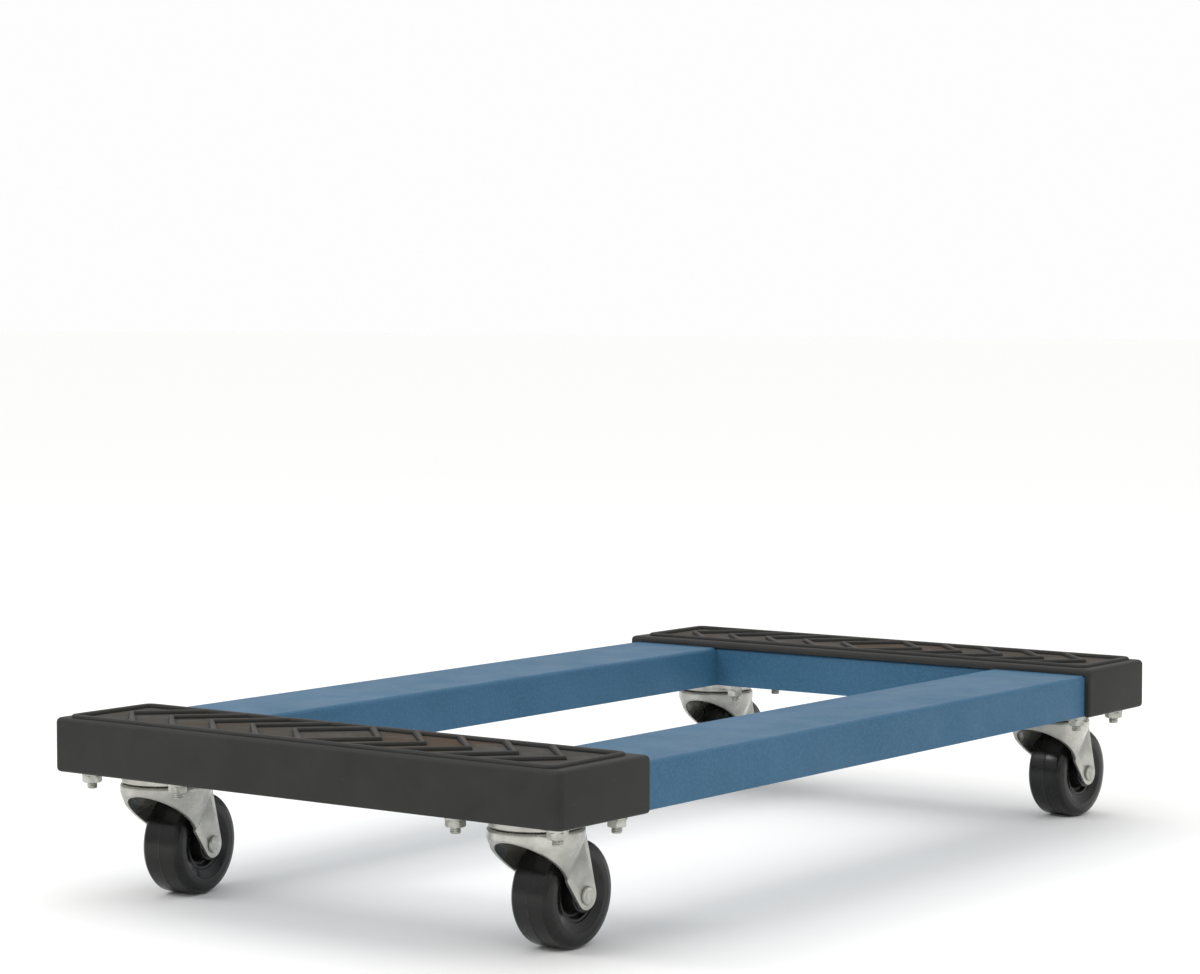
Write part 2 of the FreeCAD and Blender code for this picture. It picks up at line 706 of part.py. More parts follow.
def wheel(corner):
    """Solid hard-rubber wheel: bevelled shoulders, dished side, recessed web and long hub."""
    label = f"{corner}_wheel"
    node = body(label)
    section = sketch_on(node, "XZ_Plane", f"{label}_section")
    right = [
        ("bush_radius + pin_running_gap", "hub_half_length"),
        ("hub_radius", "hub_half_length"),
        ("hub_foot_radius", "web_half"),
        ("web_radius", "web_half"),
        ("ledge_radius", "ledge_half"),
        ("ledge_radius + ledge_width", "ledge_half"),
        ("dish_radius", "dish_half"),
        ("crest_radius", "wheel_half_width"),
        ("side_radius", "wheel_half_width"),
        ("shoulder_radius", "shoulder_half"),
        ("wheel_radius", "shoulder_start"),
    ]
    left = [(r, f"-({x})") for r, x in reversed(right)]
    outline(section, right + left)
    turn(node, section, "Revolution", "V_Axis", f"{label}_disc")
    return lying(node, corner)


def build():
    side_rail("left_side_rail", -1)
    side_rail("right_side_rail", 1)
    cross_rail("front_cross_rail", -1)
    cross_rail("rear_cross_rail", 1)
    rubber_cap("front_rubber_cap", -1)
    rubber_cap("rear_rubber_cap", 1)
    caster_fasteners()
    shape = fork_shape()
    for corner in CORNERS:
        top_plate(corner)
        kingpin(corner)
        retainer(corner)
        ball_ring(corner, f"{corner}_upper_balls", UPPER_BALLS,
                  "upper_ball_radius", "upper_ball_circle", "upper_ball_level")
        ball_ring(corner, f"{corner}_lower_balls", LOWER_BALLS,
                  "lower_ball_radius", "lower_ball_circle", "lower_ball_level")
        fork(corner, shape)
        axle(corner)
        bush(corner)
        wheel(corner)
    forward = FreeCAD.Placement(V(0, -D("deck_forward"), 0), FreeCAD.Rotation())
    for node in NODES:
        node.Placement = forward.multiply(node.Placement)
    doc.recompute()


def check_and_write():
    for feature in doc.Objects:
        broken = [word for word in ("Invalid", "Error") if word in feature.State]
        if broken:
            raise RuntimeError(f"{feature.Label} is {broken}")
    os.makedirs("parts", exist_ok=True)
    for node in NODES:
        shape = node.Shape
        if shape.isNull() or not shape.isValid():
            raise RuntimeError(f"{node.Label} has no valid shape")
        shape.exportStep(f"parts/{node.Label}.step")
        print(f"{node.Label:28s} solids {len(shape.Solids):3d} volume {shape.Volume:11.1f}")
    whole = Part.makeCompound([node.Shape for node in NODES]).optimalBoundingBox(False)
    print(f"{len(NODES)} nodes, x {whole.XMin:.3f} to {whole.XMax:.3f}, "
          f"y {whole.YMin:.3f} to {whole.YMax:.3f}, z {whole.ZMin:.3f} to {whole.ZMax:.3f}")


build()
check_and_write()
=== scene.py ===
"""Looks of the open-deck furniture dolly: moulded caps, wheels, pressed forks and threaded
fasteners as finished meshes, and a worked finish for every part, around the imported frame."""

import json
import math

import bmesh
import bpy
from mathutils import Matrix, Vector


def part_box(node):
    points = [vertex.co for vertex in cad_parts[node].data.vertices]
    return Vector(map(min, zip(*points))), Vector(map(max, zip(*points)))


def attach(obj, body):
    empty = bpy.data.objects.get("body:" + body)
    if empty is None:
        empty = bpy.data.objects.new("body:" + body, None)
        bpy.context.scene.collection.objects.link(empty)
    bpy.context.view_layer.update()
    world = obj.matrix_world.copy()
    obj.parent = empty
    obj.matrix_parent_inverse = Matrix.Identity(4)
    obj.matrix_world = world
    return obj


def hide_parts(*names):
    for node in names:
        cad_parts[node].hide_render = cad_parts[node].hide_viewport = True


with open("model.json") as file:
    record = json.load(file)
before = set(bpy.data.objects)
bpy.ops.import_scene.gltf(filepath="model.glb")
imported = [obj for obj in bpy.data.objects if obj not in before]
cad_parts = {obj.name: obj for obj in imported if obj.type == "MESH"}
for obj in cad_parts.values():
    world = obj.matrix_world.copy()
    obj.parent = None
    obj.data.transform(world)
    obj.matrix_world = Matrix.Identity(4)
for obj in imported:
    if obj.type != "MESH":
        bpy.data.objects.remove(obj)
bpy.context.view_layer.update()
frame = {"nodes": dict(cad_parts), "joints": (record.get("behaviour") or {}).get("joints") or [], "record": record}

MM = 0.001
CORNERS = ("front_right", "front_left", "rear_right", "rear_left")

# sizes from here to the studio are in millimetres, and angles in degrees

# nearer points than this are one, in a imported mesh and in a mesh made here
WELD_GAP = 0.005
SEAM_GAP = 0.002
# the ends of a bolt close on a ring this small
POLE_RADIUS = 0.02

# rubber caps; the outside is read from the frame
CAP_TAPER = 1.0
CAP_TOP_EDGE = 3.8
CAP_FOOT_EDGE = 3.2
CAP_EDGE_STEPS = 6
CAP_OUTER_CORNER = 5.5
CAP_MOUTH_CORNER = 2.0
CAP_LEAST_CORNER = 0.6
CAP_CORNER_STEPS = 7
CAP_WALL = 4.9
CAP_END_WALL = 5.0
CAP_ROOF = 5.3
CAP_INNER_CORNER = 1.5
CAP_OVERRUN = 20.0
PANEL_SINK = 0.5
RIB_HEIGHT = 2.5
RIB_WIDTH = 5.6
RIB_ROUND = 2.2
RIM_HALF_WIDTH = 226.0
RIM_INSET = 4.5
RIM_DEPTH = 87.0
RIM_CORNER = 5.0
CHEVRON_OUTERMOST = 206.0
CHEVRON_PITCH = 40.6
CHEVRONS = 5

# dust on the caps: it starts this far in from the rim's edge, is full further in, reaches a
# little under the panel, and lies thinner on top of the ribs
DUST_START = 1.0
DUST_FADE = 3.0
DUST_UNDER = 1.0
DUST_ON_RIBS = 0.45

# wheels; each side of the section runs from the bore out, as radius, distance from the
# middle and rounding, and ends in the tread with its fine mould line
BORE = 5.55
HUB_HALF = 19.6
WHEEL_SIDE = (
    (BORE, HUB_HALF, 0.4),
    (12.0, HUB_HALF, 0.9),
    (13.0, 8.5, 1.6),
    (16.4, 8.5, 1.4),
    (17.3, 13.5, 0.6),
    (19.2, 13.3, 0.3),
    (19.8, 14.3, 0.5),
    (26.5, 16.95, 5.0),
    (31.5, 16.95, 6.0),
    (35.8, 15.8, 2.6),
)
TREAD_DROP = 0.25
TREAD_HALF = 13.1
TREAD_ROUND = 2.6
MOULD_LINE_FOOT = 0.7
MOULD_LINE_TOP = 0.25
WHEEL_SEGMENTS = 128

# axle rivets
RIVET_HALF = 22.5
RIVET_SHANK_RADIUS = 3.95
RIVET_HEAD_RADIUS = 6.6
RIVET_HEAD_HEIGHT = 2.2
RIVET_DISH_RADIUS = 2.6
RIVET_DISH_EDGE = 3.4
RIVET_DISH_DEPTH = 0.35
RIVET_SEGMENTS = 64

# forks
FORK_SLIVER = 0.12
FORK_FLAT_TURN = 1
FORK_FLAT_SHAPE = 120
FORK_EDGE = 0.55
FORK_EDGE_TURN = 50

# nuts and bolts
NUT_FLATS = 12.7
NUT_HEIGHT = 5.3
NUT_FACE_SHARE = 0.96
NUT_CHAMFER = 30
NUT_BORE = 4.05
NUT_BORE_MOUTH = 4.5
NUT_BORE_CHAMFER = 0.4
NUT_STEPS = 48
THREAD_RADIUS = 3.95
THREAD_PITCH = 1.41
THREAD_DEPTH = 0.55
THREADED_LENGTH = 9.0
THREAD_ROWS = 6
BOLT_TIP_CHAMFER = 0.9
BOLT_HEAD_RADIUS = 9.0
BOLT_HEAD_HEIGHT = 3.2
BOLT_HEAD_STEPS = 8
BOLT_STEPS = 32
NUT_SEED = 4
BOLT_SEED = 9

# studio, in metres: how bright the surroundings are at the horizon, overhead and as seen
SIDE_LIGHT = 0.55
TOP_LIGHT = 1.2
SEEN_LIGHT = 0.985
WHITE = (1.0, 1.0, 1.0, 1.0)
FLOOR_HALF = 30.0
LAMP_AIM = Vector((0, 0, 0.1))
# name, place, size and power of each soft box
SOFT_BOXES = (
    ("key_softbox", (-1.6, -2.2, 2.4), 0.8, 22.0),
    ("fill_softbox", (2.6, -0.6, 1.6), 1.8, 6.0),
    ("top_softbox", (0.2, 0.6, 3.0), 2.4, 10.0),
)
CAMERA_LENS = 98.09
CAMERA_PLACE = (1.5220, -2.1179, 0.4458)
CAMERA_TURN = (86.708, 0.0, 36.476)


# ---------------------------------------------------------------- node helpers

def feed(node, inputs):
    """Set a node's inputs: plain values, sockets, or nodes, which give their first output."""
    for name, value in inputs.items():
        for one in value if isinstance(value, list) else [value]:
            if isinstance(one, bpy.types.Node):
                one = one.outputs[0]
            if isinstance(one, bpy.types.NodeSocket):
                node.id_data.links.new(one, node.inputs[name])
            else:
                node.inputs[name].default_value = one


def add(tree, kind, settings=None, feeds=None):
    """Add a node to a tree; settings are its properties and feeds its inputs."""
    made = tree.nodes.new(kind)
    for name, value in (settings or {}).items():
        setattr(made, name, value)
    feed(made, feeds or {})
    return made


def tint(code):
    """sRGB hex to linear colour."""
    parts = [int(code[i:i + 2], 16) / 255 for i in (1, 3, 5)]
    return (*[c / 12.92 if c <= 0.04045 else ((c + 0.055) / 1.055) ** 2.4 for c in parts], 1.0)


def per_mm(size):
    """Texture scale, in cells per metre, for a pattern whose cells are this many millimetres."""
    return 1 / (size * MM)


# ---------------------------------------------------------------- finishes

def start_material(name):
    material = bpy.data.materials.new(name)
    material.use_nodes = True
    tree = material.node_tree
    place = add(tree, "ShaderNodeTexCoord").outputs["Object"]
    return material, tree, tree.nodes["Principled BSDF"], place


def patches(tree, place, size, low, high, least=0.0, most=1.0, detail=4.0, rough=0.55):
    """Cloudy patches about this many millimetres across, spread from least to most."""
    cloud = add(tree, "ShaderNodeTexNoise", None, {
        "Vector": place, "Scale": per_mm(size), "Detail": detail, "Roughness": rough})
    return add(tree, "ShaderNodeMapRange", None, {
        "Value": cloud, "From Min": low, "From Max": high, "To Min": least, "To Max": most})


def marked(tree, base, mark, where, share=1.0):
    """A base colour marked with another where a pattern is, at this share of its strength."""
    amount = add(tree, "ShaderNodeMath", {"operation": "MULTIPLY"}, {0: where, 1: share})
    return add(tree, "ShaderNodeMix", {"data_type": "RGBA"}, {
        0: amount, 6: base, 7: mark}).outputs[2]


def relief(tree, place, size, depth, detail=2.0, strength=1.0, under=None):
    """Uneven surface: lumps this many millimetres across, up to this many deep."""
    lumps = add(tree, "ShaderNodeTexNoise", None, {
        "Vector": place, "Scale": per_mm(size), "Detail": detail, "Roughness": 0.55})
    uneven = add(tree, "ShaderNodeBump", None, {
        "Height": lumps, "Distance": depth * MM, "Strength": strength})
    if under is not None:
        feed(uneven, {"Normal": under})
    return uneven


def powder_coat():
    """Polyester powder coat, sprayed and baked: satin blue with a fine orange peel."""
    material, tree, shader, place = start_material("powder_coat_blue")
    drift = patches(tree, place, 90, 0.35, 0.65, detail=2)
    speckle = patches(tree, place, 2.2, 0.45, 0.62, detail=3)
    base = marked(tree, tint("#335d79"), tint("#3a6380"), drift)
    base = marked(tree, base, tint("#4a7290"), speckle, 0.35)
    feed(shader, {
        "Base Color": base,
        "Roughness": patches(tree, place, 40, 0.3, 0.7, 0.44, 0.58),
        "Specular IOR Level": 0.2,
        # the peel is drawn a little coarser than the real one, so that it shows
        "Normal": relief(tree, place, 1.6, 0.05, detail=1),
    })
    return material


def cap_dust(tree, place):
    """Dust lying between the rims of either cap, on what faces up, and thinner on the ribs."""
    front_low, front_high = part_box("front_rubber_cap")
    rear_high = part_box("rear_rubber_cap")[1]
    top = front_high.z - RIB_HEIGHT * MM
    spot = add(tree, "ShaderNodeSeparateXYZ", None, {0: place})
    across = add(tree, "ShaderNodeMath", {"operation": "ABSOLUTE"}, {0: spot.outputs["X"]})
    level = spot.outputs["Z"]
    shape = add(tree, "ShaderNodeNewGeometry")
    facing = add(tree, "ShaderNodeSeparateXYZ", None, {0: shape.outputs["Normal"]})

    # both caps share this finish: how far a spot is from the nearer rim's middle line
    halfway = (front_low.y + rear_high.y) / 2
    to_middle = (rear_high.y - front_low.y) / 2 - (RIM_INSET + RIM_DEPTH / 2) * MM
    away = spot.outputs["Y"]
    for offset in (halfway, to_middle):
        away = add(tree, "ShaderNodeMath", {"operation": "SUBTRACT"}, {0: away, 1: offset})
        away = add(tree, "ShaderNodeMath", {"operation": "ABSOLUTE"}, {0: away})
    edge = RIM_DEPTH / 2 - DUST_START

    dust = patches(tree, place, 26, 0.3, 0.62, 0.45, 1.0, detail=5, rough=0.6)
    for measure, none_at, full_at, least in (
            (across, RIM_HALF_WIDTH * MM, (RIM_HALF_WIDTH - DUST_FADE) * MM, 0.0),
            (away, edge * MM, (edge - DUST_FADE) * MM, 0.0),
            (facing.outputs["Z"], 0.7, 0.95, 0.0),
            (level, top - DUST_UNDER * MM, top - 0.7 * DUST_UNDER * MM, 0.0),
            (level, top + 2.2 * MM, top - 0.2 * MM, DUST_ON_RIBS)):
        share = add(tree, "ShaderNodeMapRange", None, {
            "Value": measure, "From Min": none_at, "From Max": full_at, "To Min": least})
        dust = add(tree, "ShaderNodeMath", {"operation": "MULTIPLY"}, {0: dust, 1: share})
    return dust


def cap_rubber():
    """Moulded SBR rubber: matt charcoal, scuffed, with pale dust lying in the ribbed panels."""
    material, tree, shader, place = start_material("moulded_rubber_charcoal")
    dust = cap_dust(tree, place)
    mottle = patches(tree, place, 34, 0.34, 0.68)
    stretched = add(tree, "ShaderNodeMapping", None, {
        "Vector": place, "Rotation": (0.2, 0.1, 0.7), "Scale": (1.0, 0.22, 1.0)})
    scuffs = patches(tree, stretched, 5.5, 0.66, 0.76, detail=6, rough=0.7)
    specks = patches(tree, place, 2.0, 0.72, 0.78, detail=2)
    brown = patches(tree, place, 120, 0.4, 0.56, detail=1)
    base = marked(tree, tint("#2b2b2a"), tint("#343432"), mottle)
    base = marked(tree, base, tint("#4d4c49"), scuffs, 0.4)
    base = marked(tree, base, tint("#6a6862"), specks, 0.35)
    dirt = marked(tree, tint("#4b4945"), tint("#50453a"), brown)
    # the dust takes the sheen off the rubber
    rubber_rough = add(tree, "ShaderNodeMapRange", None, {
        "Value": mottle, "To Min": 0.5, "To Max": 0.66})
    dust_rough = add(tree, "ShaderNodeMath", {"operation": "MULTIPLY"}, {0: dust, 1: 0.95})
    # the grain is drawn coarser than the tool's fine texture, so that it shows
    grain = relief(tree, place, 0.9, 0.06, detail=3, strength=0.6)
    feed(shader, {
        "Base Color": marked(tree, base, dirt, dust),
        "Roughness": add(tree, "ShaderNodeMath", {"operation": "MAXIMUM"}, {
            0: rubber_rough, 1: dust_rough}),
        "Specular IOR Level": add(tree, "ShaderNodeMapRange", None, {
            "Value": dust, "To Min": 0.17, "To Max": 0.03}),
        "Normal": relief(tree, place, 70, 0.9, detail=1, strength=0.35, under=grain),
    })
    return material


def zinc_plate(name, dull, bright, low_rough, high_rough, size):
    """Electroplated zinc over steel: a clouded, satin grey metal with brighter worn patches."""
    material, tree, shader, place = start_material(name)
    cloud = patches(tree, place, size, 0.36, 0.64, detail=5, rough=0.6)
    stain = patches(tree, place, size / 4, 0.62, 0.74, detail=4, rough=0.65)
    base = marked(tree, tint(dull), tint(bright), cloud)
    dents = relief(tree, place, 7, 0.10, strength=0.5)
    feed(shader, {
        "Base Color": marked(tree, base, tint("#82847d"), stain, 0.35),
        "Metallic": 0.82,
        "Roughness": add(tree, "ShaderNodeMapRange", None, {
            "Value": cloud, "To Min": high_rough, "To Max": low_rough}),
        "Normal": relief(tree, place, 0.7, 0.012, strength=0.6, under=dents),
    })
    return material


def ball_steel():
    """Hardened bearing steel, ground and polished, under a film of grease."""
    material, tree, shader, place = start_material("bearing_steel_polished")
    film = patches(tree, place, 3, 0.4, 0.6, detail=3)
    feed(shader, {
        "Base Color": marked(tree, tint("#9c9b97"), tint("#8c867a"), film),
        "Metallic": 1.0,
        "Roughness": add(tree, "ShaderNodeMapRange", None, {
            "Value": film, "To Min": 0.12, "To Max": 0.3}),
    })
    return material


def wheel_rubber():
    """Hard rubber, compression moulded in a polished tool: glossy black with faint flow marks."""
    material, tree, shader, place = start_material("hard_rubber_black")
    flow = patches(tree, place, 22, 0.35, 0.65)
    dust = patches(tree, place, 1.6, 0.66, 0.76)
    base = marked(tree, tint("#121211"), tint("#1a1a19"), flow)
    feed(shader, {
        "Base Color": marked(tree, base, tint("#4b4a46"), dust, 0.25),
        "Roughness": patches(tree, place, 9, 0.3, 0.7, 0.16, 0.3, detail=5),
        "Specular IOR Level": 0.33,
        "Normal": relief(tree, place, 11, 0.12, strength=0.4),
    })
    return material


FINISHES = {
    "blue_steel": powder_coat(),
    "cap_rubber": cap_rubber(),
    "zinc_steel": zinc_plate("zinc_plated_pressed_steel", "#a6a6a0", "#c6c5be", 0.24, 0.4, 24),
    "zinc_hardware": zinc_plate("zinc_plated_fasteners", "#a6a69e", "#c5c6bf", 0.28, 0.44, 6),
    "bearing_steel": ball_steel(),
    "wheel_rubber": wheel_rubber(),
}


# ---------------------------------------------------------------- mesh helpers

def arc_corners(points, steps=5, closed=True):
    """Turn corner points (u, v, radius) into an outline whose corners are arcs of that radius."""
    outline = []
    count = len(points)
    for i, (u, v, radius) in enumerate(points):
        here = Vector((u, v))
        if radius <= 0 or (not closed and i in (0, count - 1)):
            outline.append(here)
            continue
        back = (Vector(points[i - 1][:2]) - here).normalized()
        ahead = (Vector(points[(i + 1) % count][:2]) - here).normalized()
        half = back.angle(ahead) / 2
        centre = here + (back + ahead).normalized() * (radius / math.sin(half))
        start = here + back * (radius / math.tan(half)) - centre
        turn = start.angle_signed(here + ahead * (radius / math.tan(half)) - centre)
        for step in range(steps + 1):
            swung = Matrix.Rotation(-turn * step / steps, 2) @ start
            outline.append(centre + swung)
    return outline


def bridge(rings, capped=False, join_ends=False):
    """Mesh from closed rings of the same number of points, joined by quads."""
    mesh = bmesh.new()
    rows = [[mesh.verts.new(p) for p in ring] for ring in rings]
    pairs = list(zip(rows, rows[1:]))
    if join_ends:
        pairs.append((rows[-1], rows[0]))
    count = len(rows[0])
    for low, high in pairs:
        for i in range(count):
            j = (i + 1) % count
            mesh.faces.new((low[i], low[j], high[j], high[i]))
    if capped:
        mesh.faces.new(rows[0][::-1])
        mesh.faces.new(rows[-1])
    return mesh


def finished(mesh, name, slot=None, smooth_angle=35):
    """Object at the origin from a bmesh in millimetres, faces outward."""
    bmesh.ops.scale(mesh, vec=(MM, MM, MM), verts=mesh.verts)
    bmesh.ops.remove_doubles(mesh, verts=mesh.verts, dist=SEAM_GAP * MM)
    bare = [edge for edge in mesh.edges if not edge.link_faces]
    bmesh.ops.delete(mesh, geom=bare, context="EDGES")
    bmesh.ops.recalc_face_normals(mesh, faces=mesh.faces)
    data = bpy.data.meshes.new(name)
    mesh.to_mesh(data)
    mesh.free()
    return placed(data, name, slot, smooth_angle)


def placed(data, name, slot=None, smooth_angle=35):
    piece = bpy.data.objects.new(name, data)
    bpy.context.scene.collection.objects.link(piece)
    data.shade_smooth()
    data.set_sharp_from_angle(angle=math.radians(smooth_angle))
    if slot:
        data.materials.clear()
        data.materials.append(FINISHES[slot])
    return piece


def plain_mesh(piece, name, slot, smooth_angle=35):
    """Evaluate a piece's modifiers to a plain mesh object and drop the working one."""
    bpy.context.view_layer.update()
    depsgraph = bpy.context.evaluated_depsgraph_get()
    data = bpy.data.meshes.new_from_object(piece.evaluated_get(depsgraph))
    piece.modifiers.clear()
    bpy.data.objects.remove(piece)
    data.name = name
    return placed(data, name, slot, smooth_angle)


def lathe(profile, centre, axis, segments):
    """Closed section of (radius, along) points, in millimetres, spun round an axis."""
    side = axis.orthogonal().normalized()
    rings = []
    for step in range(segments):
        out = Matrix.Rotation(2 * math.pi * step / segments, 3, axis) @ side
        rings.append([centre + out * r + axis * along for r, along in profile])
    return bridge(rings, join_ends=True)


def keep_on(piece, body, slot, *nodes):
    """Ride a body and stand for CAD nodes; the slot argument is not used."""
    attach(piece, body)
    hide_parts(*nodes)


def use_tree(piece, tree, values):
    """Put a Geometry Nodes tree on a piece and set its named inputs."""
    modifier = piece.modifiers.new(tree.name, "NODES")
    modifier.node_group = tree
    for socket in tree.interface.items_tree:
        if socket.item_type == "SOCKET" and socket.name in values:
            modifier[socket.identifier] = values[socket.name]


def new_tree(name, sockets):
    tree = bpy.data.node_groups.new(name, "GeometryNodeTree")
    for label, kind in sockets:
        tree.interface.new_socket(label, in_out="INPUT", socket_type=f"NodeSocket{kind}")
    tree.interface.new_socket("Geometry", in_out="OUTPUT", socket_type="NodeSocketGeometry")
    inputs = add(tree, "NodeGroupInput").outputs
    return tree, inputs, add(tree, "NodeGroupOutput")


# ---------------------------------------------------------------- rubber caps

def cap_ribs_tree():
    """Rim and chevron ribs swept along their centre lines and moulded onto the cap, which is
    then hollowed by the frame's shape."""
    tree, given, result = new_tree("cap_ribs", [
        ("Geometry", "Geometry"), ("Hollow", "Object"), ("Rubber", "Material"),
        ("Rim width", "Float"), ("Rim depth", "Float"), ("Rim corner", "Float"),
        ("Centre", "Vector"), ("Rib width", "Float"), ("Rib height", "Float"),
        ("Rib round", "Float"), ("Tip", "Float"), ("Pitch", "Float"), ("Count", "Int"),
        ("Reach", "Float"),
    ])

    # profile: a rounded bar, half of it sunk into the cap
    twice = add(tree, "ShaderNodeMath", {"operation": "MULTIPLY"}, {0: given["Rib height"], 1: 2.0})
    bar = add(tree, "GeometryNodeCurvePrimitiveQuadrilateral", None,
              {"Width": given["Rib width"], "Height": twice})
    profile = add(tree, "GeometryNodeFilletCurve", {"mode": "POLY"},
                  {"Curve": bar, "Count": 4, "Radius": given["Rib round"]})

    def swept(curve, caps):
        upright = add(tree, "GeometryNodeSetCurveNormal", {"mode": "Z_UP"}, {"Curve": curve})
        return add(tree, "GeometryNodeCurveToMesh", None, {
            "Curve": upright, "Profile Curve": profile, "Fill Caps": caps})

    loop = add(tree, "GeometryNodeCurvePrimitiveQuadrilateral", None,
               {"Width": given["Rim width"], "Height": given["Rim depth"]})
    loop = add(tree, "GeometryNodeFilletCurve", {"mode": "POLY"},
               {"Curve": loop, "Count": 6, "Radius": given["Rim corner"]})
    rim = add(tree, "GeometryNodeTransform", None,
              {"Geometry": swept(loop, False), "Translation": given["Centre"]})

    # chevron: three points, the middle one at the tip, the others back and to either side
    trio = add(tree, "GeometryNodeMeshLine", {"mode": "OFFSET"}, {"Count": 3})
    step = add(tree, "ShaderNodeMath", {"operation": "SUBTRACT"}, {
        0: add(tree, "GeometryNodeInputIndex"), 1: 1.0})
    far = add(tree, "ShaderNodeMath", {"operation": "ABSOLUTE"}, {0: step})
    back = add(tree, "ShaderNodeMath", {"operation": "MULTIPLY"}, {0: far, 1: -1.0})
    place = add(tree, "ShaderNodeVectorMath", {"operation": "SCALE"}, {
        0: add(tree, "ShaderNodeCombineXYZ", None, {0: back, 1: step}), "Scale": given["Reach"]})
    bent = add(tree, "GeometryNodeSetPosition", None, {"Geometry": trio, "Position": place})
    chevron = swept(add(tree, "GeometryNodeMeshToCurve", None, {"Mesh": bent}), True)

    # a row from each side, its tips pointing outwards
    tip = add(tree, "ShaderNodeCombineXYZ", None, {0: given["Tip"]})
    pitch = add(tree, "ShaderNodeCombineXYZ", None, {0: given["Pitch"]})
    rows = []
    for side, turn in ((1.0, 0.0), (-1.0, math.pi)):
        start = add(tree, "ShaderNodeVectorMath", {"operation": "MULTIPLY_ADD"}, {
            0: tip, 1: (side, 1.0, 1.0), 2: given["Centre"]})
        apart = add(tree, "ShaderNodeVectorMath", {"operation": "SCALE"}, {
            0: pitch, "Scale": -side})
        spots = add(tree, "GeometryNodeMeshLine", {"mode": "OFFSET"}, {
            "Count": given["Count"], "Start Location": start, "Offset": apart})
        rows.append(add(tree, "GeometryNodeInstanceOnPoints", None, {
            "Points": spots, "Instance": chevron, "Rotation": (0.0, 0.0, turn)}))
    chevrons = add(tree, "GeometryNodeJoinGeometry", None, {"Geometry": rows})
    chevrons = add(tree, "GeometryNodeRealizeInstances", None, {"Geometry": chevrons})

    moulded = add(tree, "GeometryNodeMeshBoolean", {"operation": "UNION", "solver": "EXACT"}, {
        "Mesh 2": [given["Geometry"], rim, chevrons], "Self Intersection": True})
    core = add(tree, "GeometryNodeObjectInfo", {"transform_space": "ORIGINAL"},
               {"Object": given["Hollow"]})
    hollowed = add(tree, "GeometryNodeMeshBoolean", {"operation": "DIFFERENCE", "solver": "EXACT"},
                   {"Mesh 1": moulded, "Mesh 2": core.outputs["Geometry"]})
    plain = add(tree, "GeometryNodeRealizeInstances", None, {"Geometry": hollowed})
    painted = add(tree, "GeometryNodeSetMaterial", None,
                  {"Geometry": plain, "Material": given["Rubber"]})
    feed(result, {0: painted})
    return tree


def cap_ring(inset, level, half_width, y_outer, y_mouth, outer_corner, mouth_corner):
    """One level of the cap's outside: four sides that narrow towards the outer end."""
    inward = math.copysign(1, y_mouth - y_outer)
    outer = y_outer + inward * inset
    mouth = y_mouth - inward * inset
    wide = half_width - inset
    narrow = half_width - CAP_TAPER - inset
    near = max(outer_corner - inset, CAP_LEAST_CORNER)
    far = max(mouth_corner - inset, CAP_LEAST_CORNER)
    corners = [(narrow, outer, near), (wide, mouth, far), (-wide, mouth, far),
               (-narrow, outer, near)]
    return [Vector((x, y, level)) for x, y in arc_corners(corners, CAP_CORNER_STEPS)]


